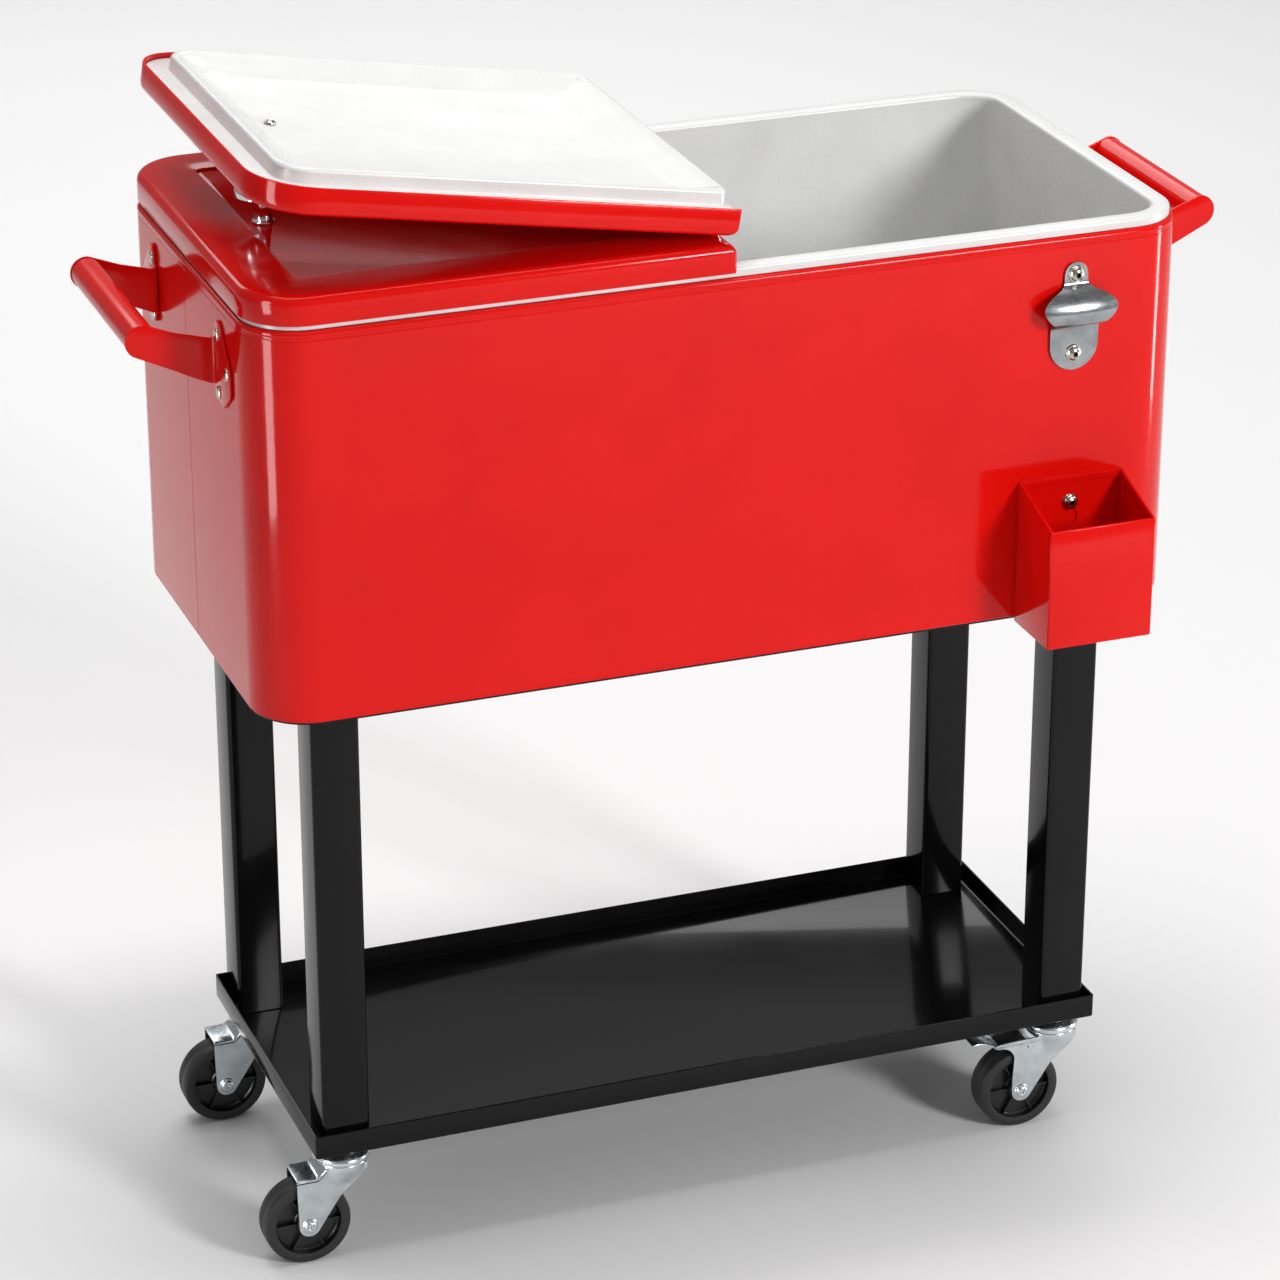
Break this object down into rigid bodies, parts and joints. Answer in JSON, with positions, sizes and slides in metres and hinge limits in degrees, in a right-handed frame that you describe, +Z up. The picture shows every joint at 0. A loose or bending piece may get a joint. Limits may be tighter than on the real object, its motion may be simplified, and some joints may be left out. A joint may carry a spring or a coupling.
{
  "type": "cooler on wheels",
  "caption": "Insulated steel drinks cooler on square legs with a lower tray and swivel casters, lids on a shared centre hinge, end handles, bottle opener and catch bin.",
  "frame": {"origin": "on the floor under the middle of the cooler's box, whose front includes the catch bin", "axes": "+Z up, +X to the right when facing the opener, -Y to the front"},
  "size_m": [0.8762, 0.4188, 0.9091],
  "materials": {
    "red_paint": "gloss",
    "black_paint": "gloss",
    "white_liner": "satin",
    "insulating_foam": "matte",
    "chrome_knob": "polished",
    "stainless_steel": "satin",
    "zinc_plate": "satin",
    "wheel_rubber": "satin"
  },
  "bodies": {
    "chest": {"shell_front": "red_paint", "shell_back": "red_paint", "bottom_pan": "black_paint", "foam_insulation": "insulating_foam", "tub_liner": "white_liner", "drain_spout": "white_liner", "handle_left_grip": "red_paint", "handle_left_front_arm": "red_paint", "handle_left_back_arm": "red_paint", "handle_right_grip": "red_paint", "handle_right_front_arm": "red_paint", "handle_right_back_arm": "red_paint", "opener_plate": "stainless_steel", "opener_bolt_upper": "stainless_steel", "opener_bolt_lower": "stainless_steel", "bin_bolt": "stainless_steel", "tray": "black_paint", "leg_front_left": "black_paint", "leg_front_right": "black_paint", "leg_back_left": "black_paint", "leg_back_right": "black_paint", "caster_mount_front_left": "zinc_plate", "caster_mount_front_right": "zinc_plate", "caster_mount_back_left": "zinc_plate", "caster_mount_back_right": "zinc_plate"},
    "left_lid": {"left_lid_shell": "red_paint", "left_lid_liner": "white_liner", "left_lid_foam": "insulating_foam", "left_knob": "chrome_knob", "left_knob_screw": "stainless_steel", "hinge_leaf_left": "stainless_steel", "hinge_pin": "stainless_steel"},
    "right_lid": {"right_lid_shell": "red_paint", "right_lid_liner": "white_liner", "right_lid_foam": "insulating_foam", "right_knob": "chrome_knob", "right_knob_screw": "stainless_steel", "hinge_leaf_right": "stainless_steel"},
    "caster_front_left": {"fork_front_left": "zinc_plate", "axle_front_left": "zinc_plate"},
    "wheel_front_left": {"wheel_front_left": "wheel_rubber"},
    "caster_front_right": {"fork_front_right": "zinc_plate", "axle_front_right": "zinc_plate"},
    "wheel_front_right": {"wheel_front_right": "wheel_rubber"},
    "caster_back_left": {"fork_back_left": "zinc_plate", "axle_back_left": "zinc_plate"},
    "wheel_back_left": {"wheel_back_left": "wheel_rubber"},
    "caster_back_right": {"fork_back_right": "zinc_plate", "axle_back_right": "zinc_plate"},
    "wheel_back_right": {"wheel_back_right": "wheel_rubber"},
    "brake_pedal_front_right": {"brake_pedal_front_right": "zinc_plate"},
    "brake_pedal_back_right": {"brake_pedal_back_right": "zinc_plate"},
    "catch_bin": {"catch_bin": "red_paint"},
    "drain_cap": {"drain_cap": "white_liner"}
  },
  "joints": [
    {"name": "left_lid_hinge", "type": "hinge", "parent": "chest", "child": "left_lid", "pos_m": [0, 0.0309, 0.8202], "axis": [0, 1, 0], "range_deg": [0, 170.58]},
    {"name": "right_lid_hinge", "type": "hinge", "parent": "left_lid", "child": "right_lid", "pos_m": [0, 0.0309, 0.8202], "axis": [0, -1, 0], "range_deg": [-170.58, 0]},
    {"name": "caster_front_left_swivel", "type": "hinge", "parent": "chest", "child": "caster_front_left", "pos_m": [-0.306, -0.0886, 0.0862], "axis": [0, 0, 1], "continuous": true},
    {"name": "wheel_front_left_spin", "type": "hinge", "parent": "caster_front_left", "child": "wheel_front_left", "pos_m": [-0.337, -0.0886, 0.035], "axis": [0, 1, 0], "continuous": true},
    {"name": "caster_front_right_swivel", "type": "hinge", "parent": "chest", "child": "caster_front_right", "pos_m": [0.306, -0.0886, 0.0862], "axis": [0, 0, 1], "continuous": true},
    {"name": "wheel_front_right_spin", "type": "hinge", "parent": "caster_front_right", "child": "wheel_front_right", "pos_m": [0.275, -0.0886, 0.035], "axis": [0, 1, 0], "continuous": true},
    {"name": "caster_back_left_swivel", "type": "hinge", "parent": "chest", "child": "caster_back_left", "pos_m": [-0.306, 0.1504, 0.0862], "axis": [0, 0, 1], "continuous": true},
    {"name": "wheel_back_left_spin", "type": "hinge", "parent": "caster_back_left", "child": "wheel_back_left", "pos_m": [-0.337, 0.1504, 0.035], "axis": [0, 1, 0], "continuous": true},
    {"name": "caster_back_right_swivel", "type": "hinge", "parent": "chest", "child": "caster_back_right", "pos_m": [0.306, 0.1504, 0.0862], "axis": [0, 0, 1], "continuous": true},
    {"name": "wheel_back_right_spin", "type": "hinge", "parent": "caster_back_right", "child": "wheel_back_right", "pos_m": [0.275, 0.1504, 0.035], "axis": [0, 1, 0], "continuous": true},
    {"name": "brake_pedal_front_right_press", "type": "hinge", "parent": "caster_front_right", "child": "brake_pedal_front_right", "pos_m": [0.281, -0.0886, 0.075], "axis": [0, -1, 0], "range_deg": [0, 8]},
    {"name": "brake_pedal_back_right_press", "type": "hinge", "parent": "caster_back_right", "child": "brake_pedal_back_right", "pos_m": [0.281, 0.1504, 0.075], "axis": [0, -1, 0], "range_deg": [0, 8]},
    {"name": "catch_bin_lift", "type": "slide", "parent": "chest", "child": "catch_bin", "axis": [0, 0, 1], "range_m": [0, 0.012]},
    {"name": "drain_cap_pull", "type": "slide", "parent": "chest", "child": "drain_cap", "axis": [1, 0, 0], "range_m": [0, 0.025]}
  ]
}
